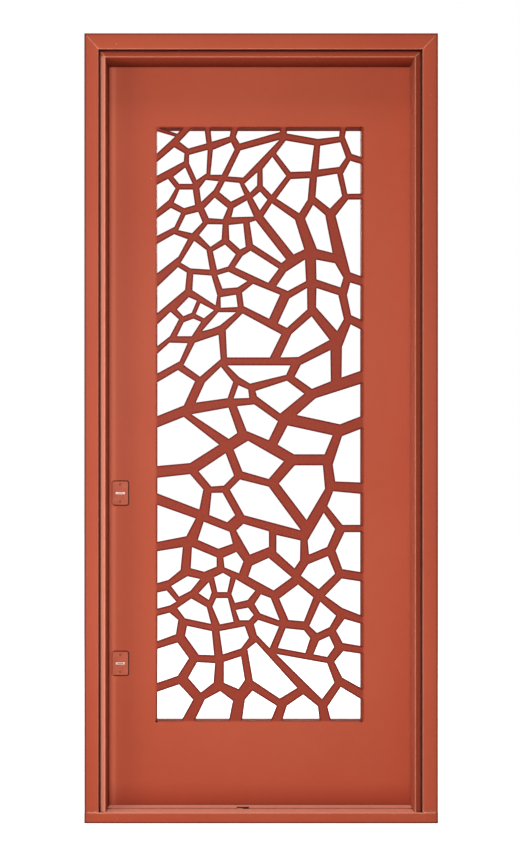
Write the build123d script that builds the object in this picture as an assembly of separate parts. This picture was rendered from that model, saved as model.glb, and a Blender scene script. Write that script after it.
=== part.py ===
from build123d import *
import os

# A laser-cut steel door in its folded frame: one leaf, three lift-off hinges, two locks.
# Millimetres. +Z is up and the shut door's outside face looks toward -Y. X = 0 is the leaf's
# centre line, Z = 0 the underside of the sill, Y = 0 the middle of the frame's depth.

FRAME_W = 940
FRAME_H = 2100
FRAME_D = 130
SHEET = 2
BEND = 1
FRONT_Y = -FRAME_D / 2

FLANGE = 41
GROOVE = 4.5
GROOVE_DEPTH = 15
STRIP = 15.5
STRIP_RISE = (7, 3)
FACE_W = FLANGE + GROOVE + STRIP
LOCK_FACE_W = 56
HEAD_FACE_W = 63
SPLAY = 4
OUTER_LIP = 15
STOP_DEPTH = 80
REBATE = 16
SILL_FACE = 29
SILL_LIP = 4
LIP_DEPTH = 45
REBATE_FLOOR = 17
DRAIN_X = -46
DRAIN_W = 33
DRAIN_D = 12
TROUGH = 11
CLOSING_GAP = 1
WELD_GAP = 0.3
OVER = 1

GAP = 5
LEAF_T = 45
SKIN = 3
BACK_SKIN = 2
CHANNEL = 25

REVEAL_X = (FRAME_W - FACE_W - LOCK_FACE_W) / 2
LEFT_EDGE = -REVEAL_X - LOCK_FACE_W
RIGHT_EDGE = REVEAL_X + FACE_W
LEAF_X = 421
LEAF_BOTTOM = REBATE_FLOOR + GAP
LEAF_TOP = FRAME_H - (FACE_W - REBATE) * HEAD_FACE_W / FACE_W - GAP
LEAF_Y = FRONT_Y + STOP_DEPTH + GAP
LEAF_BACK_Y = LEAF_Y + LEAF_T
CORE_Y = LEAF_Y + SKIN
CORE_D = LEAF_T - SKIN - BACK_SKIN

WINDOW_X = 280
WINDOW_BOTTOM = 260
WINDOW_TOP = 1871
HEM = 4
RELIEF = 2.5

parts = {}


def block(x0, x1, y0, y1, z0, z1):
    """A box between two opposite corners."""
    middle = Pos((x0 + x1) / 2, (y0 + y1) / 2, (z0 + z1) / 2)
    return middle * Box(abs(x1 - x0), abs(y1 - y0), abs(z1 - z0))


def folded(points):
    """Section of a bent sheet, from the corners of its middle line."""
    return trace(FilletPolyline(*points, radius=BEND), line_width=SHEET)


def depth(d):
    """Y of a plane d behind the frame's outside face."""
    return FRONT_Y + d


# Frame section, from the outside edge inward and from the outside face back: lip, flange,
# groove, a strip that slopes up toward the opening, a reveal that narrows toward the leaf,
# stop, rebate, rear flange, lip. The lock side is narrower and the head wider, in proportion.
HALF = SHEET / 2
REAR_EDGE = 15
REAR_LIP = 15
FOLDS = [
    (HALF, OUTER_LIP),
    (HALF, HALF),
    (FLANGE - HALF, HALF),
    (FLANGE - HALF, GROOVE_DEPTH + HALF),
    (FLANGE + GROOVE + HALF, GROOVE_DEPTH + HALF),
    (FLANGE + GROOVE + HALF, STRIP_RISE[0] + HALF),
    (FACE_W - HALF, STRIP_RISE[1] + HALF),
    (FACE_W + SPLAY - HALF, STOP_DEPTH - HALF),
    (FACE_W - REBATE - HALF, STOP_DEPTH - HALF),
    (FACE_W - REBATE - HALF, FRAME_D - HALF),
    (REAR_EDGE, FRAME_D - HALF),
    (REAR_EDGE, FRAME_D - REAR_LIP),
]
MITRE_REACH = 1.2


def jamb(edge, face):
    """Upright of the frame, from its outside edge and the width of its face (minus for one
    that runs toward -X): mitred at the top, its foot set back behind the sill's face."""
    section = folded([(edge - a * face / FACE_W, depth(d)) for a, d in FOLDS])
    upright = extrude(section, FRAME_H, dir=(0, 0, 1))
    inner = edge - face * MITRE_REACH
    mitre = Plane.XZ * Polygon(
        (edge, 0), (edge, FRAME_H), (inner, FRAME_H - HEAD_FACE_W * MITRE_REACH), (inner, 0),
        align=None)
    upright &= extrude(mitre, FRAME_D, both=True)
    foot = block(edge, inner, depth(-OVER), depth(SHEET), -OVER, SILL_FACE)
    return upright - foot


LOCK_X = -378.5
LOCKS = {"upper": 878, "lower": 416}
BOLT_DEPTH = CORE_Y + CORE_D / 2
STRIKE_W = 19
STRIKE_H = 110
BOX_WALL = 1.5
BOX_MARGIN = 4
BOX_D = 16


def strike_box(z):
    """Thin open box welded behind the bolts' cut-out in the jamb."""
    wall = LEFT_EDGE + (FACE_W - REBATE - HALF) * LOCK_FACE_W / FACE_W - HALF
    half_w = STRIKE_W / 2 + BOX_MARGIN
    half_h = STRIKE_H / 2 + BOX_MARGIN
    outer = block(wall, wall - BOX_D, BOLT_DEPTH - half_w, BOLT_DEPTH + half_w,
                  z - half_h, z + half_h)
    half_w -= BOX_WALL
    half_h -= BOX_WALL
    return outer - block(wall + OVER, wall - BOX_D + BOX_WALL, BOLT_DEPTH - half_w,
                         BOLT_DEPTH + half_w, z - half_h, z + half_h)


left_jamb = jamb(LEFT_EDGE, -LOCK_FACE_W)
for name, z in LOCKS.items():
    left_jamb -= block(-REVEAL_X, -REVEAL_X - 2 * REBATE, BOLT_DEPTH - STRIKE_W / 2,
                       BOLT_DEPTH + STRIKE_W / 2, z - STRIKE_H / 2, z + STRIKE_H / 2)
    parts[f"strike_box_{name}"] = strike_box(z)
parts["left_jamb"] = left_jamb
parts["right_jamb"] = jamb(RIGHT_EDGE, FACE_W)

# Head: the same section laid along X, mitred at both ends.
section = Plane.YZ.offset(LEFT_EDGE) * folded(
    [(depth(d), FRAME_H - a * HEAD_FACE_W / FACE_W) for a, d in FOLDS])
low = FRAME_H - HEAD_FACE_W * MITRE_REACH
mitre = Plane.XZ * Polygon(
    (LEFT_EDGE, FRAME_H), (RIGHT_EDGE, FRAME_H), (RIGHT_EDGE - FACE_W * MITRE_REACH, low),
    (LEFT_EDGE + LOCK_FACE_W * MITRE_REACH, low), align=None)
parts["head"] = extrude(section, FRAME_W, dir=(1, 0, 0)) & extrude(mitre, FRAME_D, both=True)

# Sill: a closed fold with a full-width face, a top plate between the jambs, a raised rear
# lip with a drain notch in it, and the rebate floor behind.
lip_top = SILL_FACE + SILL_LIP
section = Plane.YZ.offset(LEFT_EDGE) * folded([
    (depth(FRAME_D - SHEET - CLOSING_GAP), HALF),
    (depth(HALF), HALF),
    (depth(HALF), SILL_FACE - HALF),
    (depth(LIP_DEPTH + HALF), SILL_FACE - HALF),
    (depth(LIP_DEPTH + HALF), lip_top - HALF),
    (depth(STOP_DEPTH - HALF), lip_top - HALF),
    (depth(STOP_DEPTH - HALF), REBATE_FLOOR - HALF),
    (depth(FRAME_D - HALF), REBATE_FLOOR - HALF),
    (depth(FRAME_D - HALF), 0),
])
sill = extrude(section, FRAME_W, dir=(1, 0, 0))
for side, edge, rebate in ((-1, LEFT_EDGE, REBATE * LOCK_FACE_W / FACE_W),
                           (1, RIGHT_EDGE, REBATE)):
    end = edge + side * OVER
    reveal = side * (REVEAL_X - WELD_GAP)
    stop = depth(STOP_DEPTH + OVER)
    notch = Polygon((reveal, depth(SHEET)), (end, depth(SHEET)), (end, stop),
                    (reveal - side * SPLAY, stop), align=None)
    sill -= extrude(notch, 2 * lip_top, both=True)
    sill -= block(side * (REVEAL_X + rebate - WELD_GAP), end, depth(STOP_DEPTH),
                  depth(FRAME_D + OVER), -OVER, lip_top + OVER)
drain_y = depth(LIP_DEPTH - SHEET)
sill -= block(DRAIN_X - DRAIN_W / 2, DRAIN_X + DRAIN_W / 2, drain_y, depth(LIP_DEPTH + DRAIN_D),
              SILL_FACE, lip_top + OVER)
sill += block(DRAIN_X - DRAIN_W / 2, DRAIN_X, drain_y, depth(LIP_DEPTH + TROUGH),
              SILL_FACE - SHEET, SILL_FACE)
parts["sill"] = sill

# Cracked-earth pattern. Each hole grows from a seed (across, down, reach) until it meets
# its neighbours; the bar left between two holes stands square across the line that joins
# their seeds. Seeds are in steps of squared paper, laid over the window from CORNER.
STEP = 2.719
CORNER = (157.0, 127.7)
BAR = (12, 20)
NEAR = 250
SEEDS = [
    (175.5, 130.7, 2.3), (163.2, 139.9, 6.2), (196, 138, 8.7), (219, 134.2, 5.7),
    (245, 135.2, 6.8), (315, 133.3, 5.2), (355, 138.5, 8.3), (172, 159.5, 7.7),
    (198.5, 163.5, 8.5), (221, 158, 8.3), (246.5, 161, 9.3), (297.5, 157.3, 14.2),
    (331.5, 156.3, 11.8), (183, 177.7, 6.1), (252.2, 183.5, 4.8), (272.8, 176.3, 10),
    (354, 178, 9.2), (165.3, 190.8, 8.3), (185.5, 198.8, 8.4), (207.5, 188.3, 6),
    (232.3, 191.3, 8.7), (260.3, 199.8, 4.9), (296.5, 192.5, 12.2), (328.6, 188.5, 11.9),
    (215.8, 210, 8.8), (242.8, 210.8, 6.4), (168, 220, 8.9), (191, 222.3, 9),
    (212, 234.3, 9.6), (236.8, 233.5, 7.5), (260, 238.5, 7.7), (284.5, 226, 10.8),
    (318.5, 228.5, 9), (352, 230, 11.4), (169.3, 250, 11.2), (197.8, 258.3, 10.2),
    (223.8, 256.8, 9.2), (257, 266.6, 9.9), (295, 276.8, 8.9), (327.5, 272.5, 10.3),
    (172.3, 287.5, 10.4), (203.3, 285.3, 10), (228, 280.3, 7.7), (355.8, 300, 7.5),
    (229, 301.8, 5.6), (259, 300, 12.6), (296.3, 306.8, 9.6), (328.3, 303.8, 11.3),
    (187.7, 306.8, 6.2), (203.9, 311.1, 5.7), (219.5, 319, 5.2), (166.2, 327.2, 8.3),
    (189.3, 328.7, 6.9), (251, 338.8, 18.3), (307.5, 338, 13.2), (170.8, 354.5, 10),
    (205, 355, 14), (352.8, 352, 10.6), (254, 373.8, 8.3), (315.8, 372, 13.8),
    (173, 392.3, 16), (218.5, 386.5, 12.3), (242.3, 392.8, 5), (281, 396.5, 12.9),
    (343.5, 406, 15.5), (220.8, 420.3, 11), (257.3, 421.2, 12.6), (306, 442, 12),
    (180.5, 442, 21.5), (349.3, 460, 13.9), (256.5, 461, 13.7), (219, 472.7, 12.6),
    (186, 488.5, 13.6), (305.3, 485, 19), (257.5, 501, 16.9), (220, 507, 9.5),
    (348, 508, 15), (171.5, 525, 14), (215, 535.8, 9.7), (255.3, 539, 11.8),
    (288.8, 548.3, 10.6), (320.3, 537.8, 9.7), (350, 550.3, 13), (169, 562.5, 12),
    (202.3, 561, 9.3), (233, 561.9, 8.4), (268.3, 573.5, 12.4), (319, 572.3, 12),
    (184.7, 585.5, 7), (222.8, 582, 7.3), (241.6, 591.9, 8.7), (348.5, 594.3, 14.4),
    (164.5, 599, 7.3), (206.3, 592, 4.9), (296.5, 602.8, 13.8), (265, 605, 8.2),
    (195.5, 610.5, 9), (222.7, 609, 8.1), (245, 614, 5.7), (322.8, 617.8, 9.9),
    (167.2, 625.5, 10), (202, 639.8, 10.8), (233.5, 639, 10.9), (266.2, 631.2, 8.8),
    (351, 632.2, 11.3), (295, 639.6, 10.5), (325, 646.8, 8), (171.5, 660.3, 14.3),
    (203.4, 674, 11.3), (233.9, 671, 9.6), (266, 671.5, 12.4), (315.3, 673.5, 12.9),
    (350.3, 666.3, 12.7), (173, 703.8, 15.8), (217.2, 706.8, 13), (257, 707.5, 12.4),
    (301.8, 708.7, 11.3), (346.3, 706, 13.8),
]


def cut_off(outline, origin, normal, limit):
    """The part of a convex outline that lies within limit of origin along normal."""
    kept = []
    for a, b in zip(outline, outline[1:] + outline[:1]):
        over_a = (a - origin).dot(normal) - limit
        over_b = (b - origin).dot(normal) - limit
        if over_a <= 0:
            kept.append(a)
        if over_a * over_b < 0:
            kept.append(a + (b - a) * (over_a / (over_a - over_b)))
    return kept


def crack_holes():
    """Outlines of the window's holes, in the plane of the leaf."""
    seeds = [(Vector((u - CORNER[0]) * STEP - WINDOW_X, WINDOW_TOP - (v - CORNER[1]) * STEP),
              reach * STEP) for u, v, reach in SEEDS]
    window = [Vector(-WINDOW_X, WINDOW_BOTTOM), Vector(WINDOW_X, WINDOW_BOTTOM),
              Vector(WINDOW_X, WINDOW_TOP), Vector(-WINDOW_X, WINDOW_TOP)]
    for here, reach in seeds:
        hole = window
        for there, other in seeds:
            away = (there - here).length
            if 0 < away < NEAR:
                bar = min(max(away - reach - other, BAR[0]), BAR[1])
                share = (away + (reach**2 - other**2) / away - bar) / 2
                hole = cut_off(hole, here, (there - here).normalized(), share)
        yield hole


# Lock furniture: a plate lies flush in a cut-out of each skin, with an even gap round it,
# and a steel insert with the key's slot stands in the plate.
PLATE_W = 43
PLATE_H = 64
PLATE_R = 5
PLATE_T = 2
PLATE_GAP = 2
KEY_W = 25
KEY_H = 6
KEY_PROUD = 1.5
SLOT_W = 16
SLOT_H = 1.4
SKINS = {"front": (LEAF_Y, 1), "back": (LEAF_BACK_Y, -1)}


def plate_outline(surface, z, grow=0):
    """Rounded outline of a lock's plate on a skin's face."""
    plate = RectangleRounded(PLATE_W + 2 * grow, PLATE_H + 2 * grow, PLATE_R + grow)
    return Plane.XZ.offset(-surface) * Pos(LOCK_X, z) * plate


def key_block(surface, inward, deep, z):
    """Solid that fills a key insert, from its proud face to deep behind the skin's face."""
    return block(LOCK_X - KEY_W / 2, LOCK_X + KEY_W / 2, surface - inward * KEY_PROUD,
                 surface + inward * deep, z - KEY_H / 2, z + KEY_H / 2)


front = block(-LEAF_X, LEAF_X, LEAF_Y, CORE_Y, LEAF_BOTTOM, LEAF_TOP)
holes = Sketch() + [Polygon(*[(p.X, p.Y) for p in hole], align=None) for hole in crack_holes()]
corners = [(x, z) for x in (-WINDOW_X, WINDOW_X - HEM) for z in (WINDOW_BOTTOM, WINDOW_TOP)]
holes += [Pos(x, z) * Circle(RELIEF) for x, z in corners]
front -= extrude(Plane.XZ.offset(-LEAF_Y) * holes, 2 * SKIN, both=True)
for z in LOCKS.values():
    front -= extrude(plate_outline(LEAF_Y, z, PLATE_GAP), 2 * SKIN, both=True)
parts["front_sheet"] = front

back = block(-LEAF_X, LEAF_X, LEAF_BACK_Y - BACK_SKIN, LEAF_BACK_Y, LEAF_BOTTOM, LEAF_TOP)
back -= block(-WINDOW_X, WINDOW_X - HEM, LEAF_Y, LEAF_BACK_Y + OVER, WINDOW_BOTTOM, WINDOW_TOP)
for z in LOCKS.values():
    back -= extrude(plate_outline(LEAF_BACK_Y, z, PLATE_GAP), 2 * SKIN, both=True)
parts["back_sheet"] = back


def channel(x0, x1, z0, z1, open_x=0, open_z=0):
    """U of sheet between the skins, open toward the leaf's middle."""
    outer = block(x0, x1, CORE_Y, CORE_Y + CORE_D, z0, z1)
    hollow = block(x0 + (SHEET if open_x > 0 else 0), x1 - (SHEET if open_x < 0 else 0),
                   CORE_Y + SHEET, CORE_Y + CORE_D - SHEET,
                   z0 + (SHEET if open_z > 0 else 0), z1 - (SHEET if open_z < 0 else 0))
    return outer - hollow


# Locks: a case between the stile's flanges carries three bolts, drawn back flush with the
# forend in the leaf's edge, and a pad on each side that the key plates are screwed to.
FOREND_W = 24
FOREND_H = 160
BOLT_R = 7
BOLT_HOLE_R = 7.2
BOLT_PITCH = 28
CASE_W = 52
CASE_H = 140
PAD_W = 34
PAD_H = 56
KEY_SEAT = 1
lock_stile = channel(-LEAF_X, -LEAF_X + CHANNEL, LEAF_BOTTOM, LEAF_TOP, open_x=1)
case_x = -LEAF_X + CHANNEL
case_y = (CORE_Y + SHEET, CORE_Y + CORE_D - SHEET)
for name, z in LOCKS.items():
    forend = block(-LEAF_X, -LEAF_X + SHEET, BOLT_DEPTH - FOREND_W / 2,
                   BOLT_DEPTH + FOREND_W / 2, z - FOREND_H / 2, z + FOREND_H / 2)
    lock_stile -= forend
    case = block(case_x, case_x + CASE_W, *case_y, z - CASE_H / 2, z + CASE_H / 2)
    case += block(LOCK_X - PAD_W / 2, LOCK_X + PAD_W / 2, LEAF_Y + PLATE_T,
                  LEAF_BACK_Y - PLATE_T, z - PAD_H / 2, z + PAD_H / 2)
    bolts = []
    for rise in (-BOLT_PITCH, 0, BOLT_PITCH):
        along = Pos(-LEAF_X, BOLT_DEPTH, z + rise) * Rot(0, 90, 0)
        forend -= along * Cylinder(BOLT_HOLE_R, 4 * SHEET)
        bolts.append(along * Pos(0, 0, CHANNEL / 2) * Cylinder(BOLT_R, CHANNEL))
    for face, (surface, inward) in SKINS.items():
        key = key_block(surface, inward, PLATE_T + SHEET + KEY_SEAT, z)
        case -= key
        slot = block(LOCK_X - SLOT_W / 2, LOCK_X + SLOT_W / 2, LEAF_Y - SKIN,
                     LEAF_BACK_Y + SKIN, z - SLOT_H / 2, z + SLOT_H / 2)
        parts[f"keyway_{face}_{name}"] = key - slot
        plate = extrude(plate_outline(surface, z), -inward * PLATE_T)
        parts[f"lock_plate_{face}_{name}"] = plate - key
    parts[f"lock_forend_{name}"] = forend
    parts[f"lock_bolts_{name}"] = Compound(children=bolts)
    parts[f"lock_case_{name}"] = case
parts["lock_stile"] = lock_stile
parts["hinge_stile"] = channel(LEAF_X - CHANNEL, LEAF_X, LEAF_BOTTOM, LEAF_TOP, open_x=-1)
inner_x = LEAF_X - CHANNEL
parts["top_rail"] = channel(-inner_x, inner_x, LEAF_TOP - CHANNEL, LEAF_TOP, open_z=-1)
parts["bottom_rail"] = channel(-inner_x, inner_x, LEAF_BOTTOM, LEAF_BOTTOM + CHANNEL, open_z=1)

# Window lining: four plates between the skins. The right one is hemmed, so its edge shows
# past the lattice's cut.
left_edge = -WINDOW_X - SHEET
right_edge = WINDOW_X + SHEET
core = (CORE_Y, CORE_Y + CORE_D)
parts["window_left_return"] = block(left_edge, -WINDOW_X, *core, WINDOW_BOTTOM, WINDOW_TOP)
parts["window_right_return"] = block(WINDOW_X - HEM, right_edge, *core,
                                     WINDOW_BOTTOM, WINDOW_TOP)
parts["window_top_return"] = block(left_edge, right_edge, *core,
                                   WINDOW_TOP, WINDOW_TOP + SHEET)
parts["window_bottom_return"] = block(left_edge, right_edge, *core,
                                      WINDOW_BOTTOM - SHEET, WINDOW_BOTTOM)

# Lift-off hinges on the back. The frame's half carries the lower knuckle and the pin, and
# the leaf's half turns on the pin above it. Each plate is welded flat to its piece.
HINGES = {"bottom": 250, "middle": 1040, "top": 1830}
HINGE_X = (LEAF_X + REVEAL_X + REBATE) / 2
PIN_STANDOFF = 12
HINGE_Y = depth(FRAME_D + PIN_STANDOFF)
KNUCKLE = 50
KNUCKLE_R = 8
KNUCKLE_GAP = 1
PIN_R = 5.5
PIN_FIT = 0.05
PIN_SUNK = 39
PIN_RISE = 42
WING_T = 4
WING_GAP = 2
FRAME_WING = (4.5, 27)
LEAF_WING = (-6.5, -42)
WEB = (3, 11)
back_face = depth(FRAME_D)
for name, z in HINGES.items():
    pin = Pos(HINGE_X, HINGE_Y, z + (PIN_RISE - PIN_SUNK) / 2) * Cylinder(
        PIN_R, PIN_RISE + PIN_SUNK)
    lower = Pos(HINGE_X, HINGE_Y, z - KNUCKLE / 2) * Cylinder(KNUCKLE_R, KNUCKLE)
    lower += block(HINGE_X + WEB[0], HINGE_X + WEB[1], back_face + WING_GAP, HINGE_Y,
                   z - KNUCKLE, z)
    lower += block(HINGE_X + FRAME_WING[0], HINGE_X + FRAME_WING[1], back_face,
                   back_face + WING_T, z - KNUCKLE, z + KNUCKLE)
    parts[f"hinge_{name}_frame_half"] = lower - pin
    foot = z + KNUCKLE_GAP
    upper = Pos(HINGE_X, HINGE_Y, foot + KNUCKLE / 2) * Cylinder(KNUCKLE_R, KNUCKLE)
    upper += block(HINGE_X - WEB[0], HINGE_X - WEB[1], back_face + WING_GAP, HINGE_Y,
                   foot, foot + KNUCKLE)
    upper += block(HINGE_X + LEAF_WING[0], HINGE_X + LEAF_WING[1], back_face,
                   back_face + WING_T, z - KNUCKLE, foot + KNUCKLE)
    bore = PIN_RISE + KNUCKLE_GAP
    parts[f"hinge_{name}_leaf_half"] = upper - Pos(HINGE_X, HINGE_Y, z + bore / 2) * Cylinder(
        PIN_R + PIN_FIT, bore)
    parts[f"hinge_{name}_pin"] = pin

os.makedirs("parts", exist_ok=True)
for name, shape in parts.items():
    export_step(shape, f"parts/{name}.step")
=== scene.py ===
import math
import random

import bmesh
import bpy
from mathutils import Matrix, Vector


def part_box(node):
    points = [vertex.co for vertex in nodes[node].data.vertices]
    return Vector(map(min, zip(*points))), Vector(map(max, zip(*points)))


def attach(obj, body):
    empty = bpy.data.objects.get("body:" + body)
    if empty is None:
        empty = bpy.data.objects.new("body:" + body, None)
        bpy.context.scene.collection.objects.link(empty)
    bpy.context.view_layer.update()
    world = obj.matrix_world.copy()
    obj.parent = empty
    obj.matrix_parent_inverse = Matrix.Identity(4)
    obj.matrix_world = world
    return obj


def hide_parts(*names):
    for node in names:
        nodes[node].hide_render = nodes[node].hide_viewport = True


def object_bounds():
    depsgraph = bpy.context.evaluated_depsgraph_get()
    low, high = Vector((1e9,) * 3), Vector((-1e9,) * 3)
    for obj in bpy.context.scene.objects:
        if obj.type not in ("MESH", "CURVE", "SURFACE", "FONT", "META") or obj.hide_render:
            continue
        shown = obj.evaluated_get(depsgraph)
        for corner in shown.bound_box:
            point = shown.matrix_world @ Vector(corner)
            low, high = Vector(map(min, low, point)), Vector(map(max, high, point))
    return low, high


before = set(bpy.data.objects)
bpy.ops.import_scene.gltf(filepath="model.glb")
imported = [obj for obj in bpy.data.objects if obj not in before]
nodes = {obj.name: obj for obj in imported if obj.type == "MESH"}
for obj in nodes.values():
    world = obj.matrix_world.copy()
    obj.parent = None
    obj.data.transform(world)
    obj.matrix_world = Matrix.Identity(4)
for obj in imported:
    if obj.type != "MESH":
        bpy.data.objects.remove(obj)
cad_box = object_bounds()

# Folded frame: jambs, head and sill of 2 mm sheet, bent, mitred, welded and sprayed with a
# satin terracotta paint. The bends round the opening are paler, partly wear and partly painted
# highlight. Painted light brightens the left jamb's lip, the sill's tread and the reveal that
# faces left, and painted shade darkens the groove, the reveal and the outside edge.


class Shade:
    """A socket among a material's nodes. Sums written on it become Math nodes."""

    def __init__(self, tree, socket=None):
        self.tree = tree
        self.socket = socket

    def node(self, kind, settings=None, inputs=None, output=0):
        """A node of this type: its settings first, then values or links for its sockets."""
        made = self.tree.nodes.new("ShaderNode" + kind)
        for name, value in (settings or {}).items():
            if name == "stops":
                for stop, (place, grey) in zip(made.color_ramp.elements, value):
                    stop.position = place
                    stop.color = (grey, grey, grey, 1)
            else:
                setattr(made, name, value)
        for name, value in (inputs or {}).items():
            if isinstance(value, Shade):
                self.tree.links.new(value.socket, made.inputs[name])
            else:
                made.inputs[name].default_value = value
        return Shade(self.tree, made.outputs[output])

    def maths(self, operation, *values):
        return self.node("Math", {"operation": operation}, dict(enumerate(values)))

    def part(self, axis):
        """One axis of a place or a normal."""
        return self.node("SeparateXYZ", None, {"Vector": self}, axis)

    def __add__(self, other):
        return self.maths("ADD", self, other)

    def __sub__(self, other):
        return self.maths("SUBTRACT", self, other)

    def __rsub__(self, other):
        return self.maths("SUBTRACT", other, self)

    def __mul__(self, other):
        return self.maths("MULTIPLY", self, other)

    def __abs__(self):
        return self.maths("ABSOLUTE", self)

    __radd__ = __add__
    __rmul__ = __mul__


def finish_of(name, metallic):
    """A new material with its shader's constants set; returns it, its shader and a Shade."""
    material = bpy.data.materials.new(name)
    material.use_nodes = True
    shader = material.node_tree.nodes["Principled BSDF"]
    shader.inputs["Metallic"].default_value = metallic
    return material, shader, Shade(material.node_tree)


def wire(shader, start, **sockets):
    """Links shades to the shader's sockets, whose names are written with underscores."""
    for name, shade in sockets.items():
        start.tree.links.new(shade.socket, shader.inputs[name.replace("_", " ")])


def speckle(start, place, scale, detail=2.0):
    """Noise of this many blotches to the metre."""
    return start.node("TexNoise", None, {"Vector": place, "Scale": scale, "Detail": detail})


def ramp(shade, low, high):
    """0 below low, 1 above high."""
    return shade.node("ValToRGB", {"stops": [(low, 0.0), (high, 1.0)]}, {"Fac": shade})


def band(shade, low, high, soft=0.0006):
    """1 between low and high, 0 outside them."""
    return ramp(shade, low, low + soft) * (1 - ramp(shade, high - soft, high))


def mixed(mask, low, high):
    """A colour between low and high."""
    return mask.node("Mix", {"data_type": "RGBA"}, {0: mask, 6: low, 7: high}, 2)


PAINT_DEEP = (0.362, 0.044, 0.0145, 1)
PAINT_PALE = (0.490, 0.102, 0.051, 1)
# The next colour is paler paint for wear, painted highlight and painted light; the last is
# painted shade.
PAINT_WEAR_AND_LIGHT = (1.000, 0.420, 0.290, 1)
PAINT_SHADE = (0.080, 0.0020, 0.0005, 1)
PEEL_STRENGTH = 0.08
PEEL_HEIGHT = 0.0004
ROUNDING = 0.0020
SHINE_SPREAD = (4.0, 1.0, 4.0)


def softened(start, radius):
    """The surface's normal, rounded off within this radius of each edge."""
    return start.node("Bevel", {"samples": 6}, {"Radius": radius})


def painted(name, cloud_scale=2.2, lightening=None, darkening=None, sheen=0.12, pale=PAINT_WEAR_AND_LIGHT,
            dark=PAINT_SHADE):
    """Satin terracotta paint over steel. The two masks are functions of the place and the
    surface's normal: one makes the paint paler, for wear and for painted highlight and painted
    light, the other darker, mostly for painted shade."""
    material, shader, start = finish_of(name, metallic=0.0)
    place = start.node("TexCoord", output="Object")
    cloud = speckle(start, place, cloud_scale, 3.0)
    mottle = speckle(start, place, 38.0, 4.0)
    grit = ramp(speckle(start, place, 900.0), 0.68, 0.80)
    peel = speckle(start, place, 620.0)
    normal = start.node("NewGeometry", output="Normal")
    tone = 0.5 + (cloud - 0.5) * 0.55 + (mottle - 0.5) * 0.16 + grit * 0.12
    colour = mixed(tone, PAINT_DEEP, PAINT_PALE)
    if lightening:
        colour = mixed(lightening(start, place, normal), colour, pale)
    if darkening:
        colour = mixed(darkening(start, place, normal), colour, dark)
    rolled = start.node("VectorMath", {"operation": "MULTIPLY"},
                        {0: softened(start, ROUNDING), 1: SHINE_SPREAD})
    rolled = start.node("VectorMath", {"operation": "NORMALIZE"}, {0: rolled})
    relief = start.node("Bump", None, {"Strength": PEEL_STRENGTH, "Distance": PEEL_HEIGHT,
                                       "Height": peel, "Normal": rolled})
    wire(shader, start, Base_Color=colour, Roughness=0.44 + mottle * 0.10, Normal=relief)
    shader.inputs["Specular IOR Level"].default_value = sheen
    return material


def paint_nodes(material, *names):
    """Gives CAD nodes this finish."""
    for name in names:
        nodes[name].data.materials.clear()
        nodes[name].data.materials.append(material)


frame_low, frame_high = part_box("left_jamb")
FRONT = frame_low.y
TOP = frame_high.z
LEFT_EDGE = frame_low.x
RIGHT_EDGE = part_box("right_jamb")[1].x
MIDDLE = (LEFT_EDGE + RIGHT_EDGE) / 2
HALF_WIDTH = (RIGHT_EDGE - LEFT_EDGE) / 2
REVEAL_FRONT = -0.060
REVEAL_REAR = 0.016
BEND_REACH = 0.0034
# Painted light: the left jamb's lip, the reveal that faces left, and the sill's tread and nosing.
LEFT_LIP = (0.4112, 0.4256)
LIP_ENDS = (0.030, 2.040)
LIP_PAINTED_LIGHT = 0.52
LEFT_REVEAL = -0.055
REVEAL_PAINTED_LIGHT = 0.14
TREAD_TOP = 0.036
NOSING = (0.050, 0.058)


def edge_of(start, radius, normal, full):
    """1 on an edge or a bend, 0 beyond this radius from it."""
    square = start.node("VectorMath", {"operation": "DOT_PRODUCT"},
                        {0: normal, 1: softened(start, radius)}, "Value")
    return ramp(1 - square, 0.0, full)


def from_edge(place):
    """Metres from the frame's outside edge: 0 there, and less toward the opening."""
    across = abs(place.part("X") - MIDDLE) - HALF_WIDTH
    return across.maths("MAXIMUM", across, place.part("Z") - TOP)


# A ramp's stops lie between 0 and 1, so a distance that can be negative is lifted first.
EDGE_LIFT = 0.1
DEPTH_LIFT = 0.5


def bend_wear_and_light(start, place, normal):
    """Paler on the bends round the opening, partly wear and partly painted highlight, with
    painted light on the left jamb's lip, on the sill's tread and nosing, and on the reveal that
    faces left.
    """
    flat = abs(normal.part("X"))
    for axis in "YZ":
        flat = flat.maths("MAXIMUM", flat, abs(normal.part(axis)))
    bend = ramp(1 - flat, 0.05, 0.16)
    edge = edge_of(start, BEND_REACH, normal, 0.09)
    inside = 1 - ramp(from_edge(place) + EDGE_LIFT, 0.092, 0.095)
    # The bends are paler: partly wear, partly painted highlight.
    bend_wear_and_shine = bend.maths("MAXIMUM", bend, edge) * inside
    mottle = speckle(start, place, 60.0, 3.0)
    # Painted light on the sill's tread and nosing, the left jamb's lip and the reveal that faces
    # left.
    foot = place.maths("LESS_THAN", place.part("Z"), TREAD_TOP)
    tread = ramp(normal.part("Z"), 0.90, 0.98) * foot * (0.78 + mottle * 0.30)
    nosing = bend_wear_and_shine * foot * ramp(0 - place.part("Y"), *NOSING)
    lip = band(0 - place.part("X"), *LEFT_LIP) * ramp(0 - normal.part("Y"), 0.5, 0.9)
    height = place.part("Z")
    lip = lip * height.maths("GREATER_THAN", height, LIP_ENDS[0])
    lip = lip * height.maths("LESS_THAN", height, LIP_ENDS[1])
    reveal = ramp(0 - normal.part("X"), 0.5, 0.9) * place.maths(
        "LESS_THAN", from_edge(place), LEFT_REVEAL)
    return (bend_wear_and_shine * (0.50 + mottle * 0.40) + lip * LIP_PAINTED_LIGHT + tread + nosing
            + reveal * REVEAL_PAINTED_LIGHT)


# Painted shade: in creases, in the reveal and toward the outside and bottom edges.
CREASE_REACH = 0.016
REVEAL_DARK = 0.90
BORDER = (0.062, 0.098)
BORDER_DARK = 0.16
OUTER_BEND = (0.0950, 0.0985)
OUTER_BEND_DARK = 0.70
BOTTOM_EDGE = 0.0035
BOTTOM_EDGE_DARK = 0.60


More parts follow.
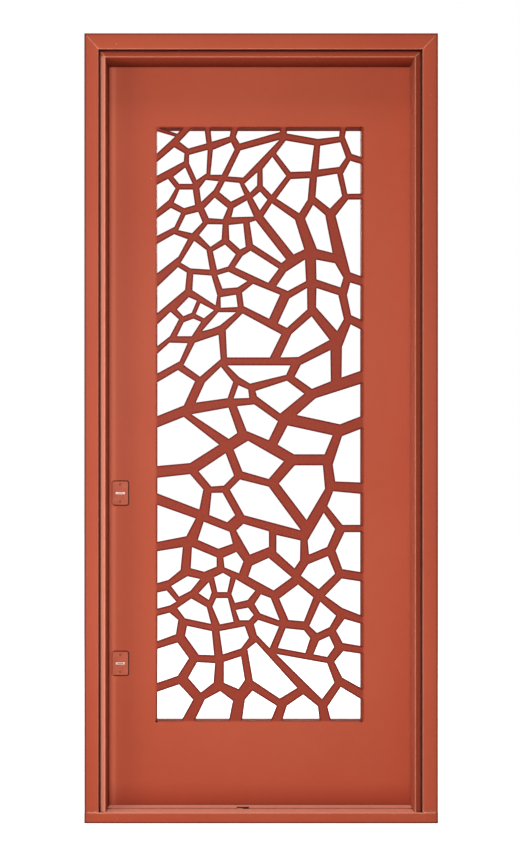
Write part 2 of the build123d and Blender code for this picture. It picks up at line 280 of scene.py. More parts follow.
def frame_painted_shade(start, place, normal):
    """Painted shade: dark in the groove, in the reveal and toward the outside and bottom edges.
    """
    # Painted shade in the creases, from an occlusion test.
    open_sky = start.node("AmbientOcclusion", {"samples": 8}, {"Distance": CREASE_REACH}, "AO")
    crease = ramp(1 - open_sky, 0.34, 0.70) * (1 - ramp(normal.part("Z"), 0.5, 0.9))
    into = ramp(place.part("Y") + DEPTH_LIFT, REVEAL_FRONT + DEPTH_LIFT, REVEAL_REAR + DEPTH_LIFT)
    faces_left = ramp(0 - normal.part("X"), 0.5, 0.9)
    reveal = into * (1 - ramp(normal.part("Z"), 0.3, 0.6)) * (1 - faces_left) * REVEAL_DARK
    far = from_edge(place) + EDGE_LIFT
    border = ramp(far, *BORDER) * BORDER_DARK + ramp(far, *OUTER_BEND) * OUTER_BEND_DARK
    low = place.maths("LESS_THAN", place.part("Z"), BOTTOM_EDGE)
    border = border + low * BOTTOM_EDGE_DARK
    border = border * place.maths("LESS_THAN", place.part("Y"), REVEAL_FRONT)
    return crease.maths("MAXIMUM", crease, reveal) + border


frame_paint = painted("frame_paint", lightening=bend_wear_and_light, darkening=frame_painted_shade)
paint_nodes(frame_paint, "left_jamb", "right_jamb", "head", "sill",
            "strike_box_upper", "strike_box_lower")

# Welds of the frame: each mitre is run with a thin bead and dressed down. The sill's joint
# with each jamb has a thin bead too, and a few short tacks along it. The paint covers them.


def solid(name, mesh, material, body):
    """A new piece from a mesh, riding on a body."""
    piece = bpy.data.objects.new(name, mesh)
    bpy.context.scene.collection.objects.link(piece)
    mesh.materials.clear()
    mesh.materials.append(material)
    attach(piece, body)
    return piece


def mesh_of(curve_data, matrix=Matrix.Identity(4)):
    """The closed mesh of a curve, moved by a matrix."""
    holder = bpy.data.objects.new("holder", curve_data)
    bpy.context.scene.collection.objects.link(holder)
    mesh = bpy.data.meshes.new_from_object(holder)
    bpy.data.objects.remove(holder)
    bpy.data.curves.remove(curve_data)
    work = bmesh.new()
    work.from_mesh(mesh)
    bmesh.ops.remove_doubles(work, verts=work.verts, dist=1e-6)
    work.transform(matrix)
    bmesh.ops.recalc_face_normals(work, faces=work.faces)
    work.to_mesh(mesh)
    work.free()
    return mesh


def bead(name, runs, radius, material, body, seed=1):
    """Weld beads along straight runs, a little uneven, sunk to half their height."""
    ripple = random.Random(seed)
    curve = bpy.data.curves.new(name, "CURVE")
    curve.dimensions = "3D"
    curve.bevel_depth = radius
    curve.bevel_resolution = 2
    curve.use_fill_caps = True
    for start, end in runs:
        start, end = Vector(start), Vector(end)
        steps = max(2, round((end - start).length / (3 * radius)))
        line = curve.splines.new("POLY")
        line.points.add(steps)
        for i, point in enumerate(line.points):
            point.co = (*start.lerp(end, i / steps), 1)
            point.radius = ripple.uniform(0.75, 1.1) * (0.6 if i in (0, steps) else 1)
    return solid(name, mesh_of(curve), material, body)


# Along a mitre: start and end as shares of the face, and how far back the face lies at each.
FLANGE_MITRE = (0.40, 0.655, 0, 0)
STRIP_MITRE = (0.745, 0.965, 0.007, 0.003)
FACES = {LEFT_EDGE: 0.056, RIGHT_EDGE: -0.061}
HEAD_FACE = 0.063
MITRE_BEAD = 0.0007
MITRE_SUNK = 0.0003
mitres = []
for edge, face in FACES.items():
    for a, b, drop_a, drop_b in (FLANGE_MITRE, STRIP_MITRE):
        mitres.append(((edge + face * a, FRONT + drop_a + MITRE_SUNK, TOP - HEAD_FACE * a),
                       (edge + face * b, FRONT + drop_b + MITRE_SUNK, TOP - HEAD_FACE * b)))
bead("mitre_welds", mitres, MITRE_BEAD, frame_paint, "frame", seed=4)

# Along the sill's joint: the bead runs from near the outside edge to where the face ends.
SILL_FACE = 0.029
JOINT_START = 0.001
JOINT_ENDS = (-0.4305, 0.4320)
JOINT_BEAD = 0.0009
JOINT_Y = FRONT + 0.0007
TACKS = {LEFT_EDGE: ((0.004, 0.009), (0.017, 0.021), (0.029, 0.034)),
         RIGHT_EDGE: ((-0.003, -0.007), (-0.012, -0.017), (-0.027, -0.033))}
TACK_BEAD = 0.0013
TACK_Y = FRONT + 0.0002
joints = [((start, JOINT_Y, SILL_FACE), (end, JOINT_Y, SILL_FACE))
          for start, end in zip((LEFT_EDGE + JOINT_START, RIGHT_EDGE - JOINT_START), JOINT_ENDS)]
tacks = [((edge + a, TACK_Y, SILL_FACE), (edge + b, TACK_Y, SILL_FACE))
         for edge, places in TACKS.items() for a, b in places]
bead("sill_joint_welds", joints, JOINT_BEAD, frame_paint, "frame", seed=6)
bead("sill_tack_welds", tacks, TACK_BEAD, frame_paint, "frame", seed=7)

# Spatter: a few low drops of weld metal and nibs of paint stay on the frame's face, mostly
# near the welds at the corners. They are painted over, and paler than the face: a painted
# highlight.
SPATTER = [(-0.3819, 2.0709, 1.9), (-0.4337, 2.0457, 1.5), (0.4536, 1.9354, 1.6),
           (-0.4536, 0.0321, 1.6), (-0.4395, 0.0321, 1.4), (0.4364, 0.0345, 1.4),
           (0.4536, 0.0345, 1.5), (0.4629, 0.0345, 1.2), (-0.3793, 0.0120, 1.7),
           (0.3553, 0.0240, 1.5)]
DROP_FLATNESS = 0.45


def drops(name, places, face, material, body):
    """Low round drops on a face that looks toward -Y: (x, z, radius in millimetres)."""
    work = bmesh.new()
    for x, z, radius in places:
        size = radius / 1000
        squashed = Matrix.Diagonal((size, size * DROP_FLATNESS, size, 1))
        where = Matrix.Translation((x, face, z)) @ squashed
        bmesh.ops.create_icosphere(work, subdivisions=2, radius=1, matrix=where)
    mesh = bpy.data.meshes.new(name)
    work.to_mesh(mesh)
    work.free()
    mesh.shade_smooth()
    return solid(name, mesh, material, body)


def nib_painted_highlight(start, place, normal):
    """Painted highlight: nibs stand proud, and they are paler than what is round them."""
    return speckle(start, place, 200.0) * 0.3 + 0.35


nib_paint = painted("nib_paint", lightening=nib_painted_highlight)
drops("frame_spatter", SPATTER, FRONT, nib_paint, "frame")

# Outside skin of the leaf: 3 mm sheet, laser-cut into a cracked-earth lattice whose bars run
# straight into the skin round it. The burr is brushed off, so each cut has a fine soft edge.

# One line for each hole: its corners, across and down, in pixels of the photograph. They were
# read one by one. PIXEL is a pixel's size on the leaf, and WINDOW_CORNER the window's top left.
PIXEL = 0.002719
WINDOW_CORNER = (157.0, 127.7)
CRACKS = """
160.5 128.5 183 128.5 177.5 134
157 131.6 175.3 137 157 154
193 128.3 204.5 128.3 206.6 143.8 188.7 148.8 180 142
210.8 128.3 231.3 128.3 229.9 136.8 212.2 142
239.5 128.3 280 128.3 280 132.4 239.9 143.8 236.2 137.4
287.1 128.3 339.7 128.3 339.2 136.8 317.9 139.3 287.1 133.8
346.8 128.3 363.2 128.3 363.2 158 351.7 154.1 345 137.4
157 162.8 174.5 147.8 184.7 153.7 184 161.8 157 176.2
189.5 155.3 207.8 150.3 206.6 173.7 197 180.3 189.5 163.7
213.3 150.3 231.2 142.8 234.7 149.9 222 175 210.8 175
240.8 150.8 279.5 140.3 243.3 177.8 228.3 176.7
276.5 153.7 286 141 314 145.8 310.7 171.6 290.8 172.2
320.4 146.2 340.4 142.7 345.8 157.8 339.2 167.2 318.8 169.7
173.8 177 185.5 168 192.8 184.1 179.5 184.1
244.7 184.1 257.4 172.8 257.2 185.8 250.2 192.8
262.9 169.5 272.5 157.4 286.3 176.2 271.7 194.9 263.2 186.2
350.4 161.2 363.2 165 363.2 193.8 347.5 194.1 343.2 174.1
157 185.3 168.3 179.3 175.8 188.7 169 200.3 157 210.3
179.9 189.9 193 189.9 195.2 205.2 184.5 208.3 174.3 202.8
199.9 188.7 206.2 180.3 218.7 181.6 214 190.3 201.6 202
225.2 181.8 239.5 183.3 244.5 195.2 231.2 201.8 219.7 192.4
253 198 260.3 192 267.5 200 260 210.5
276.7 198.7 290.8 179.5 309.6 178.5 307.7 199.9 299.2 213.3
317.3 177.4 337.1 174.1 342.1 196.2 330 208.7 315.7 197.4
204.7 208.7 214.9 198 227.7 208.3 223 219.3 209.1 218.3
231.8 217.4 234.1 208.3 247 200.8 253.8 216.8
157 218.7 171.2 208.3 181.2 213.3 174.8 227 157 236.2
178.7 230.3 186 215.3 198.5 212.2 202.8 222.4 192.4 233.3
199.5 235.3 208 224.5 222.7 224.7 221.8 239.5 210.8 247
229.1 225.3 243.3 223.8 245.8 247 240.3 249.5 229.7 239.9
250 222.8 255.8 220.8 286 259.5 281.7 263 253.3 244.5
263.8 216.6 272.1 203.7 295 219.9 304.2 249.5 293.8 254.5
305.4 219.1 313.3 205.2 325.2 215.3 332.5 253 317.1 249.1
335.8 216.2 348.3 199.9 363.2 199.9 363.2 277 350.4 272.4
157 244.5 174.5 234.5 188 239.5 178.7 256.8 157 273.7
194.5 241.2 206.6 250.3 210 269.7 190.8 268.5 181.2 262.8
213.3 251.6 225.3 244.9 235.8 254.5 228.3 266.6 217.4 269.9
242.8 256.2 250.8 251 278.8 268.8 268.3 282.8 235.3 267.4
276.7 286.2 286.3 272 305 259.9 306 281.2 287.9 291
316.3 259.9 335 263.5 343.3 277.8 340.4 287.4 316.7 279.5
157 287.8 178.3 267.4 187 272.8 185.3 289.9 157 313.7
193.7 274.5 211.6 275.8 217.4 295.3 215.8 305.3 192.8 290.3
217.8 275.3 228.7 272 247.4 281.2 237.8 287.4 222.8 288.7
350.4 282.8 363.2 286.7 363.2 320.6 351.3 315.3 347.1 295.3
221 297.4 236.2 294.9 237.8 307 221.2 307.8
242.4 292.8 253.3 284.1 280 294.9 269.2 318.7 244.1 306.2
278.3 323.3 289.6 298.7 307.1 288.3 307.3 309.5 287.1 327.8
316.7 288.3 338.3 295.3 343.8 319.1 337.1 330.8 316.3 307.4
177.4 309.5 189.1 297.4 197 300.8 192 312.8 183.7 316.2
200.8 303.3 214.1 310.3 204.1 318.3 196.2 314.1
202.4 331.2 218.7 312.4 236.2 312.4 220.3 325.3 212 328.7
157 325.3 170.8 312 179.1 319.5 170.2 336.2 157 346.6
177.4 336.2 184.1 322.4 193.7 318.8 201.2 322 192 336.2
226.2 330.3 242.8 313.7 281.3 334.5 270 357.4 227.4 357.4
311.7 316.6 329.6 339.9 298.3 357 280.8 357.4 291.7 334.1
157 354.5 169.9 342.8 187.8 343.3 179.9 361.2 157 373.7
184.1 364.9 195.3 342.8 218.7 334.9 220.8 359.1 200.3 376.6
350.8 324.5 363.2 331 363.2 369.8 341.7 377.4 342.1 347
227.8 365.5 290.4 365.5 286.3 374.7 250.3 383.5 239.5 377
330.4 350.3 330.8 381.2 312.1 388.7 295 376.6 301 365
157 382.8 178.3 370.2 195.2 381.3 184.1 405.3 157 416.2
196.2 402.4 205.3 382.4 221.2 367 233.3 382 227.8 398
234.1 398.3 238.7 385.3 248.3 389.5 249.3 397.8
255.8 391 287.1 380.8 304.2 393.7 280.4 413.3 257.2 396.2
297.1 414.9 315.8 398.3 363.2 383.2 363.2 415.2 340 424.1
192 414.3 228.7 407.7 237.4 432.8 229.1 438.7
237.4 406.2 254.5 404.5 277.9 421.2 268.8 439.9 247 430.8
277.9 444.5 287.9 425.5 332.5 435.3 324.6 454.1 294.2 454.1
157 427.8 184.1 417 219.1 444.5 190.3 462.8 157 465.8
342.1 436.2 363.2 428 363.2 482.3 335.4 481.2 332.9 464.5
234.1 449.5 248.3 440.8 283.8 461.2 268.8 478.7 242.8 471.2
199.1 471.2 225.8 453.3 234.1 475.3 224.1 485.3 211.6 486.2
157 477.8 190.3 474.1 203.5 489.3 199.5 509.1 157 492.8
279.2 483.3 295 465.3 322.9 465.3 325 488.5 306.7 519.5
230.3 489.5 240.3 479.5 268.8 486.6 300.8 529.9 244.5 514.9
212 492.8 222.8 492.7 235.2 514.9 227.4 521.8 209.7 514.7
333.3 491.2 363.2 494 363.2 524.5 342.5 524.5 327.5 505.8
157 504.5 195.8 518.3 186.6 535.8 157 541.6
198.3 539.5 204.1 521.6 229.7 531.6 232.8 543.3 218.7 548.3
236.6 530.3 243.7 523.7 269 531.2 269 546.6 250.2 554.1
276.7 534.9 300.4 540.3 300 559.9 294.6 567.8 276.7 551.6
323.8 512.8 335 528.7 327.1 546.6 309.2 554.1 307.9 540.3
344.6 532 363.2 532 363.2 572 342.5 568.7 335.8 550.3
157 551.2 183 547 180.8 569.5 168.7 579.5 157 582.8
192.4 547 216.8 557.2 216.8 566.2 204.5 571.3 191.2 567.8
223.8 557.4 236.6 551.8 243.5 561.2 239.1 572.8 224.9 567
248.7 576.2 252.4 565.3 268.8 557.8 291.7 577 273.8 589.9
301.3 575.3 308.3 564.1 327.9 556 335 573.3 318.8 588.7
171.6 585.8 187.8 576 200.3 578.7 190.8 590.3 179.5 596.2
214.5 577 223.3 572.7 230.5 577 227.4 591.6 217.8 591.6
231.8 593.7 236.2 579.1 255.3 590.3 247.8 599.5 235.3 602.4
325.4 595.3 341.7 578.3 363.2 581.6 363.2 615.6 342.5 607.5
157 592.4 167 590.3 176.6 601.2 170 605 157 608.3
199.1 592.8 209.1 582 211.8 592 209.1 599.5
279.6 598.3 298.3 584.3 313.3 597 304 620.8 288.8 619.5
254.9 603.7 261.2 594.1 270.8 597.8 279.6 619.9 260.4 612.8
177.8 607.8 191.6 598.3 207 607 211.2 623.3 185.3 617.8
216.6 597.8 228 597.8 233.7 621.2 220.3 623.8 212.8 606.2
236.2 609.7 248.3 607.4 253.7 614.5 249.1 619.7 239.9 619.7
309.6 625.5 320.4 601.5 336 615.3 329.6 626.6 317.1 632.4
157 615.8 169.9 612.4 178.5 619.5 176.2 633.8 157 640.8
187.4 625.5 212 630.8 214.3 654.7 199.1 654.1 185.5 635.3
219.9 630.8 244.9 626 249.1 637.4 241.2 647.8 223.3 653.7
254.3 624 258.5 619.6 279 626.3 269.8 647.4 257.2 634.5
344.6 618.7 363.2 624 363.2 645.8 342.9 642.4 336.3 630.3
278.2 647.4 285.8 628 304 629.9 310.2 637.8 305.4 652.4
313.8 653.7 319.2 640.5 329.2 635.8 334.2 646.6 327.3 656.3
157 648.7 177.8 642.2 189.1 657.8 177.8 675.3 157 682.4
188.7 677.4 197.4 661.8 215.2 662.8 213.7 682 201.2 691.8
224.3 661.6 241.2 656 244.9 679.5 238.7 688.3 224.3 682.2
247.8 648.7 256.2 642 297.1 687.4 280 697.8 253.3 680
276.8 653.7 327.1 662.8 334.2 682 322.1 698.3
343.3 650.8 363.2 653.7 363.2 688.6 342.5 677 334.6 661.2
157 691.6 179.5 684 193.3 699 181.6 720 157 720
195.2 720 205.3 699 220.5 690.8 233 700.3 229 720
242.4 720 245.3 699 252.8 690.3 276.8 705.3 270.8 720
282.5 720 287.1 705.3 303.3 694.1 317.9 705.8 319.6 720
340.8 686.6 363.2 700 363.2 720 331.3 720 327.7 706.2
"""
WINDOW_HALF = 0.280
WINDOW_TOP = 1.871
WINDOW_BOTTOM = 0.260
SOFT_EDGE = 0.00035
PLATE_CUT = (0.047, 0.068, 0.007)
LOCK_X = -0.3785
LOCKS = {"upper": 0.878, "lower": 0.416}
skin_low, skin_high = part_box("front_sheet")


def round_cut(x, z, width, height, radius, turns=6):
    """Outline of a rounded rectangle."""
    points = []
    for quarter, (sx, sz) in enumerate(((1, 1), (-1, 1), (-1, -1), (1, -1))):
        for i in range(turns + 1):
            a = math.pi / 2 * (quarter + i / turns)
            points.append((x + sx * (width / 2 - radius) + radius * math.cos(a),
                           z + sz * (height / 2 - radius) + radius * math.sin(a)))
    return points


def with_relief(outline, centre, radius, turns=16):
    """A hole's outline with a round relief hole run into its edge. Where the outline enters
    and leaves the circle, the part inside it gives way to an arc."""
    inside = [math.dist(p, centre) < radius for p in outline]
    out = []
    for i, (a, b) in enumerate(zip(outline, outline[1:] + outline[:1])):
        if not inside[i]:
            out.append(a)
        ax, az = a[0] - centre[0], a[1] - centre[1]
        dx, dz = b[0] - a[0], b[1] - a[1]
        reach = dx * dx + dz * dz
        along = -(ax * dx + az * dz) / reach
        spread = along * along - (ax * ax + az * az - radius * radius) / reach
        if spread <= 0:
            continue
        for t in (along - math.sqrt(spread), along + math.sqrt(spread)):
            if 0 < t < 1:
                out.append((a[0] + dx * t, a[1] + dz * t, t < along))
    cuts = [i for i, p in enumerate(out) if len(p) == 3]
    entry = next(i for i in cuts if out[i][2])
    leave = next(i for i in cuts if not out[i][2])
    kept = out[leave:] + out[:leave]
    entry = (entry - leave) % len(out)
    kept = [p[:2] for p in kept[:entry + 1]]
    first = math.atan2(kept[-1][1] - centre[1], kept[-1][0] - centre[0])
    last = math.atan2(kept[0][1] - centre[1], kept[0][0] - centre[0])
    area = sum(p[0] * q[1] - q[0] * p[1] for p, q in zip(outline, outline[1:] + outline[:1]))
    turn = (last - first) % (2 * math.pi)
    if area < 0:
        turn -= 2 * math.pi
    for i in range(1, turns):
        a = first + turn * i / turns
        kept.append((centre[0] + radius * math.cos(a), centre[1] + radius * math.sin(a)))
    return kept


def cut_sheet(name, outlines, thickness, soft):
    """A flat sheet with holes, its front face toward -Y, as a mesh about Y = 0."""
    curve = bpy.data.curves.new(name, "CURVE")
    curve.dimensions = "2D"
    curve.fill_mode = "BOTH"
    curve.extrude = thickness / 2 - soft
    curve.bevel_depth = soft
    curve.bevel_resolution = 0
    curve.offset = -soft
    for outline in outlines:
        line = curve.splines.new("POLY")
        line.points.add(len(outline) - 1)
        for point, (x, z) in zip(line.points, outline):
            point.co = (x, z, 0, 1)
        line.use_cyclic_u = True
    return mesh_of(curve, Matrix.Rotation(math.pi / 2, 4, "X"))


holes = []
for row in CRACKS.split("\n"):
    figures = [float(f) for f in row.split()]
    if figures:
        holes.append([((u - WINDOW_CORNER[0]) * PIXEL - WINDOW_HALF,
                       WINDOW_TOP - (v - WINDOW_CORNER[1]) * PIXEL)
                      for u, v in zip(figures[::2], figures[1::2])])

# Relief holes in three corners of the window: the hole that each runs into, and its centre.
RELIEF = 0.0030
RELIEFS = {6: (0.2755, 1.8695), 113: (-0.280, 0.2590), 117: (0.2755, 0.2595)}
for index, centre in RELIEFS.items():
    holes[index] = with_relief(holes[index], centre, RELIEF)
for z in LOCKS.values():
    holes.append(round_cut(LOCK_X, z, *PLATE_CUT))
rim = [(skin_low.x, skin_low.z), (skin_high.x, skin_low.z),
       (skin_high.x, skin_high.z), (skin_low.x, skin_high.z)]
skin_thickness = skin_high.y - skin_low.y
lattice = cut_sheet("lattice_skin", [rim] + holes, skin_thickness, SOFT_EDGE)
lattice.transform(Matrix.Translation((0, skin_low.y + skin_thickness / 2, 0)))
# Painted light toward the lock edge, and a painted highlight along it.
PAINT_LOCK_EDGE_LIGHT = (0.980, 0.270, 0.150, 1)
LOCK_EDGE_LIGHT = (0.370, 0.392)
LOCK_EDGE_LIGHT_AMOUNT = 0.06
LOCK_EDGE_HIGHLIGHT = (0.388, 0.405, 0.006)
LOCK_EDGE_HIGHLIGHT_AMOUNT = 0.18


def lock_edge_painted_light(start, place, normal):
    """Painted light: the leaf is paler toward its lock edge, where the jamb shades it, and a
    painted highlight runs close to the edge.
    """
    across = 0 - place.part("X")
    return ramp(across, *LOCK_EDGE_LIGHT) * LOCK_EDGE_LIGHT_AMOUNT + band(across, *LOCK_EDGE_HIGHLIGHT) * LOCK_EDGE_HIGHLIGHT_AMOUNT


# Darker paint along the cuts and over the bars, and painted shade at the leaf's foot.
PAINT_LEAF_DARK = (0.150, 0.0030, 0.0010, 1)
CUT_DARK_REACH = 0.0055
CUT_DARK_FADE = (0.21, 0.31)
BARS_DARK = 0.34
WINDOW_MIDDLE = (WINDOW_TOP + WINDOW_BOTTOM) / 2
WINDOW_REACH = (WINDOW_TOP - WINDOW_BOTTOM) / 2
LEAF_FOOT = (0.040, 0.095)
FOOT_SHADE = 0.38


def dark_cuts_and_foot_shade(start, place, normal):
    """Darker along each cut and over the bars inside the window. Painted shade darkens the
    leaf's foot, where the sill shades it."""
    depth = start.node("AmbientOcclusion", {"samples": 24, "inside": True, "only_local": True},
                       {"Distance": CUT_DARK_REACH}, "AO")
    edge = 1 - ramp(depth, *CUT_DARK_FADE)
    inside = 1 - ramp(abs(place.part("X")), WINDOW_HALF - 0.001, WINDOW_HALF + 0.003)
    inside = inside * (1 - ramp(abs(place.part("Z") - WINDOW_MIDDLE), WINDOW_REACH - 0.001,
                                WINDOW_REACH + 0.003))
    # Painted shade at the leaf's foot, where the sill shades it.
    foot = 1 - ramp(place.part("Z"), *LEAF_FOOT)
    return inside * (BARS_DARK + edge * (1 - BARS_DARK)) + foot * FOOT_SHADE


leaf_paint = painted("leaf_paint", cloud_scale=1.7, lightening=lock_edge_painted_light, darkening=dark_cuts_and_foot_shade,
                     pale=PAINT_LOCK_EDGE_LIGHT, dark=PAINT_LEAF_DARK)
lattice_skin = solid("lattice_skin", lattice, leaf_paint, "leaf")
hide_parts("front_sheet")

# Rest of the leaf: an inside skin with a plain window, channels round the edge between the
# skins, and plates that line the window. All of it is welded, filled and painted together.
paint_nodes(leaf_paint, "front_sheet", "back_sheet", "lock_stile", "hinge_stile", "top_rail",
            "bottom_rail")


def lining_painted_shade(start, place, normal):
    """Painted shade: the window's lining is darker, in blotches."""
    return speckle(start, place, 30.0) * 0.3 + 0.35


lining_paint = painted("lining_paint", darkening=lining_painted_shade, sheen=0.05)
paint_nodes(lining_paint, "window_left_return", "window_right_return", "window_top_return",
            "window_bottom_return")

# Marks on the lock stile's face: a blob and two nibs of paint, and a short bent scratch that
# was filled before the last coat. They stand a little proud, and they are paler: a painted
# highlight.
FACE_Y = skin_low.y
NIBS = [(-0.2947, 1.7322, 2.4), (-0.2972, 1.4752, 1.7), (-0.3118, 1.2543, 1.2)]
SCRATCH = [(-0.3775, FACE_Y, 1.3075), (-0.3735, FACE_Y, 1.303), (-0.3742, FACE_Y, 1.299)]
SCRATCH_BEAD = 0.0006
drops("leaf_paint_nibs", NIBS, FACE_Y, nib_paint, "leaf")
bead("leaf_filled_scratch", list(zip(SCRATCH, SCRATCH[1:])), SCRATCH_BEAD, nib_paint, "leaf",
     seed=11)

# Lock furniture: steel plates painted with the leaf, lying flush in its cut-outs with a dark
# gap round them, each held by two countersunk screws. The key's insert is bare steel.


def blotched_plate(start, place, normal):
    """The plates are a little paler in blotches."""
    return speckle(start, place, 90.0) * 0.20


plate_paint = painted("plate_paint", cloud_scale=9.0, lightening=blotched_plate)
paint_nodes(plate_paint, "lock_plate_front_upper", "lock_plate_front_lower",
            "lock_plate_back_upper", "lock_plate_back_lower")


def steel(name, dull, bright, roughness, along):
    """Bare steel with fine scratches along one axis."""
    material, shader, start = finish_of(name, metallic=1.0)
    place = start.node("TexCoord", output="Object")
    stretch = start.node("VectorMath", {"operation": "MULTIPLY"}, {0: place, 1: along})
    lines = speckle(start, stretch, 1.0, 3.0)
    stain = speckle(start, place, 60.0, 4.0)
    tone = lines * 0.5 + stain * 0.5
    relief = start.node("Bump", None, {"Strength": 0.15, "Distance": 0.0002, "Height": lines})
    wire(shader, start, Base_Color=mixed(tone, dull, bright),
         Roughness=roughness + (stain - 0.5) * 0.2 + (lines - 0.5) * 0.1, Normal=relief)
    return material


key_steel = steel("key_steel", (0.52, 0.33, 0.27, 1), (0.78, 0.54, 0.46, 1), 0.55,
                  (90.0, 900.0, 900.0))
paint_nodes(key_steel, "keyway_front_upper", "keyway_front_lower", "keyway_back_upper",
            "keyway_back_lower")
forend_steel = steel("forend_steel", (0.42, 0.42, 0.40, 1), (0.66, 0.65, 0.62, 1), 0.38,
                     (700.0, 700.0, 60.0))
paint_nodes(forend_steel, "lock_forend_upper", "lock_forend_lower", "lock_bolts_upper",
            "lock_bolts_lower")
dark_steel = steel("dark_steel", (0.035, 0.016, 0.012, 1), (0.070, 0.034, 0.026, 1), 0.6,
                   (300.0, 300.0, 300.0))
# Painted shade: the lock cases are dark, so the gap round each plate reads dark.
paint_nodes(dark_steel, "lock_case_upper", "lock_case_lower")
SCREW_REACH = 0.0235
SCREW_SIDES = 24
SOCKET_RINGS = (1, 2)
SCREW_PROFILE = [(0.0, -0.0016), (0.0012, -0.0016), (0.0014, -0.0002), (0.0029, 0.0002),
                 (0.0032, -0.0001), (0.0032, -0.0018)]


def screws(name, places, material, body):
    """Countersunk screws with a six-sided socket. Each place is a matrix that carries +Z out
    of the face, and the profile's inner rings are drawn in to the socket's six sides."""
    work = bmesh.new()
    for matrix in places:
        rings = []
        for i, (radius, rise) in enumerate(SCREW_PROFILE):
            ring = []
            for k in range(SCREW_SIDES):
                a = 2 * math.pi * k / SCREW_SIDES
                reach = radius
                if i in SOCKET_RINGS:
                    reach = radius * math.cos(math.pi / 6) / math.cos(
                        (a % (math.pi / 3)) - math.pi / 6)
                where = matrix @ Vector((reach * math.cos(a), reach * math.sin(a), rise))
                ring.append(work.verts.new(where))
            rings.append(ring)
        for low, high in zip(rings, rings[1:]):
            for k in range(SCREW_SIDES):
                j = (k + 1) % SCREW_SIDES
                work.faces.new((low[k], low[j], high[j], high[k]))
        work.faces.new(rings[-1])
    bmesh.ops.remove_doubles(work, verts=work.verts, dist=1e-7)
    bmesh.ops.recalc_face_normals(work, faces=work.faces)
    mesh = bpy.data.meshes.new(name)
    work.to_mesh(mesh)
    work.free()
    return solid(name, mesh, material, body)


out_of_front = Matrix.Rotation(math.pi / 2, 4, "X")
out_of_back = Matrix.Rotation(-math.pi / 2, 4, "X")
out_of_edge = Matrix.Rotation(-math.pi / 2, 4, "Y")
FRONT_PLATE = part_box("lock_plate_front_upper")[0].y
BACK_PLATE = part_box("lock_plate_back_upper")[1].y
spots = []
for z in LOCKS.values():
    for rise in (-SCREW_REACH, SCREW_REACH):
        spots.append(Matrix.Translation((LOCK_X, FRONT_PLATE, z + rise)) @ out_of_front)
        spots.append(Matrix.Translation((LOCK_X, BACK_PLATE, z + rise)) @ out_of_back)
screws("plate_screws", spots, dark_steel, "leaf")
EDGE_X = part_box("lock_forend_upper")[0].x
FOREND_Y = 0.043
FOREND_REACH = 0.068
spots = [Matrix.Translation((EDGE_X, FOREND_Y, z + rise)) @ out_of_edge
         for z in LOCKS.values() for rise in (-FOREND_REACH, FOREND_REACH)]
screws("forend_screws", spots, forend_steel, "leaf")

# Lift-off hinges: turned knuckles on flat wings, welded to the jamb and the leaf from behind
# and painted with them. The pins are greased steel and show between the knuckles.
hinge_paint = painted("hinge_paint", cloud_scale=12.0)
pin_steel = steel("pin_steel", (0.30, 0.29, 0.28, 1), (0.60, 0.59, 0.57, 1), 0.25,
                  (800.0, 800.0, 120.0))
FRAME_WING = 0.019
LEAF_WING = 0.030
WING_BEAD = 0.0022
BEAD_SUNK = 0.0008
for place in ("bottom", "middle", "top"):
    paint_nodes(hinge_paint, f"hinge_{place}_frame_half", f"hinge_{place}_leaf_half")
    paint_nodes(pin_steel, f"hinge_{place}_pin")
    for body, half, outer in (("frame", f"hinge_{place}_frame_half", 1),
                              ("leaf", f"hinge_{place}_leaf_half", 0)):
        low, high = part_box(half)
        edge = high.x if outer else low.x
        wing_y = low.y + BEAD_SUNK
        inner = edge - FRAME_WING if outer else edge + LEAF_WING
        bead(f"hinge_{place}_{body}_weld",
             [((edge, wing_y, low.z), (edge, wing_y, high.z)),
              ((edge, wing_y, low.z), (inner, wing_y, low.z)),
              ((edge, wing_y, high.z), (inner, wing_y, high.z))],
             WING_BEAD, hinge_paint, body, seed=len(place) + outer)

# Studio: a floor and a background that the camera sees as white. The key light stands in
# front and above, weak ones fill the left side, the foot and the top, and three stand behind
# for the views of the back and the sides.
FLOOR_HALF = 30
FLOOR_DROP = 0.0005
floor_mesh = bpy.data.meshes.new("floor")
work = bmesh.new()
bmesh.ops.create_grid(work, x_segments=1, y_segments=1, size=FLOOR_HALF)
work.to_mesh(floor_mesh)
work.free()
floor = bpy.data.objects.new("floor", floor_mesh)
bpy.context.scene.collection.objects.link(floor)
floor.location.z = cad_box[0].z - FLOOR_DROP
floor_material, floor_shader, start = finish_of("floor", 0.0)
grain = speckle(start, start.node("TexCoord", output="Object"), 3.0)
wire(floor_shader, start, Base_Color=mixed(grain, (0.72, 0.72, 0.72, 1), (0.76, 0.76, 0.76, 1)),
     Emission_Strength=start.node("LightPath", output="Is Camera Ray"))
floor_shader.inputs["Roughness"].default_value = 0.8
floor_shader.inputs["Emission Color"].default_value = (1, 1, 1, 1)
floor_mesh.materials.append(floor_material)


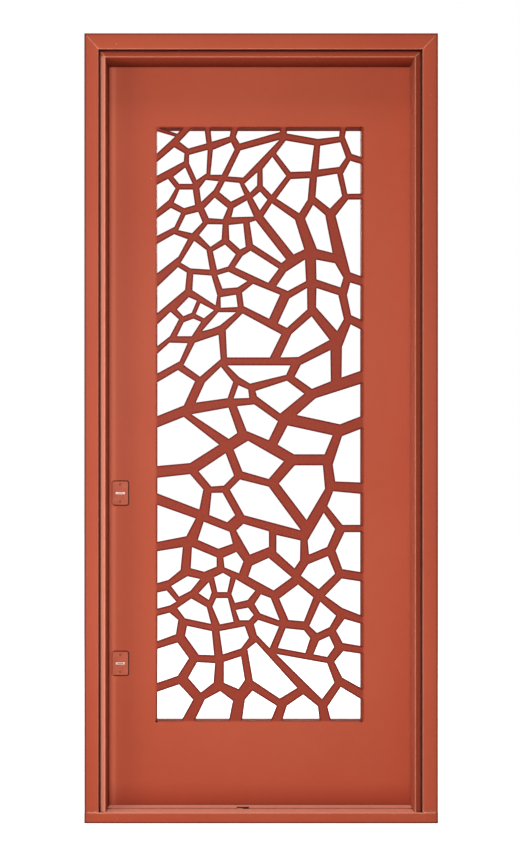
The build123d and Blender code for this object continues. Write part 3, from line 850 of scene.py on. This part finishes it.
def softbox(name, place, aim, width, height, watts):
    """A rectangular area light that faces a point."""
    data = bpy.data.lights.new(name, "AREA")
    data.shape = "RECTANGLE"
    data.size = width
    data.size_y = height
    data.energy = watts
    light = bpy.data.objects.new(name, data)
    bpy.context.scene.collection.objects.link(light)
    light.location = place
    light.rotation_euler = (Vector(aim) - Vector(place)).to_track_quat("-Z", "Y").to_euler()


softbox("key_light", (-0.35, -3.92, 1.75), (0, 0, 1.05), 1.2, 1.2, 91)
softbox("side_light", (-3.6, -1.7, 1.4), (0, 0, 1.05), 1.2, 1.2, 8)
softbox("edge_light", (-1.0, -0.60, 1.10), (0, 0, 1.05), 0.3, 2.0, 4)
softbox("foot_light", (0, -1.6, 0.25), (0, 0, 0.1), 1.0, 0.2, 5)
softbox("top_light", (0, -0.9, 3.4), (0, 0, 0), 1.6, 0.6, 11)
softbox("back_light", (0.6, 3.4, 2.9), (0, 0, 0.9), 3.0, 2.0, 105)
softbox("right_rim_light", (3.8, 0.6, 1.8), (0.4, 0, 1.0), 1.2, 1.6, 75)
softbox("left_rim_light", (-3.8, 0.6, 1.8), (-0.4, 0, 1.0), 1.2, 1.6, 55)

SKY_LIGHT = 0.10
world = bpy.data.worlds.new("studio")
world.use_nodes = True
bpy.context.scene.world = world
sky = Shade(world.node_tree)
background = world.node_tree.nodes["Background"]
seen = sky.node("LightPath", output="Is Camera Ray")
wire(background, sky, Strength=SKY_LIGHT + seen * (1 - SKY_LIGHT))
background.inputs["Color"].default_value = (1, 1, 1, 1)

# Camera: level, 60 mm left of the frame's middle and below half its height. The lens is
# shifted, so the door's uprights stay parallel, as in the photograph.
camera_data = bpy.data.cameras.new("camera")
camera_data.lens = 62
camera_data.sensor_width = 36
camera_data.shift_x = 0.0247
camera_data.shift_y = 0.0713
camera = bpy.data.objects.new("camera", camera_data)
bpy.context.scene.collection.objects.link(camera)
camera.location = (-0.0575, -4.032, 0.872)
camera.rotation_euler = (math.pi / 2, 0, 0)
bpy.context.scene.camera = camera
bpy.context.scene.view_settings.view_transform = "Standard"
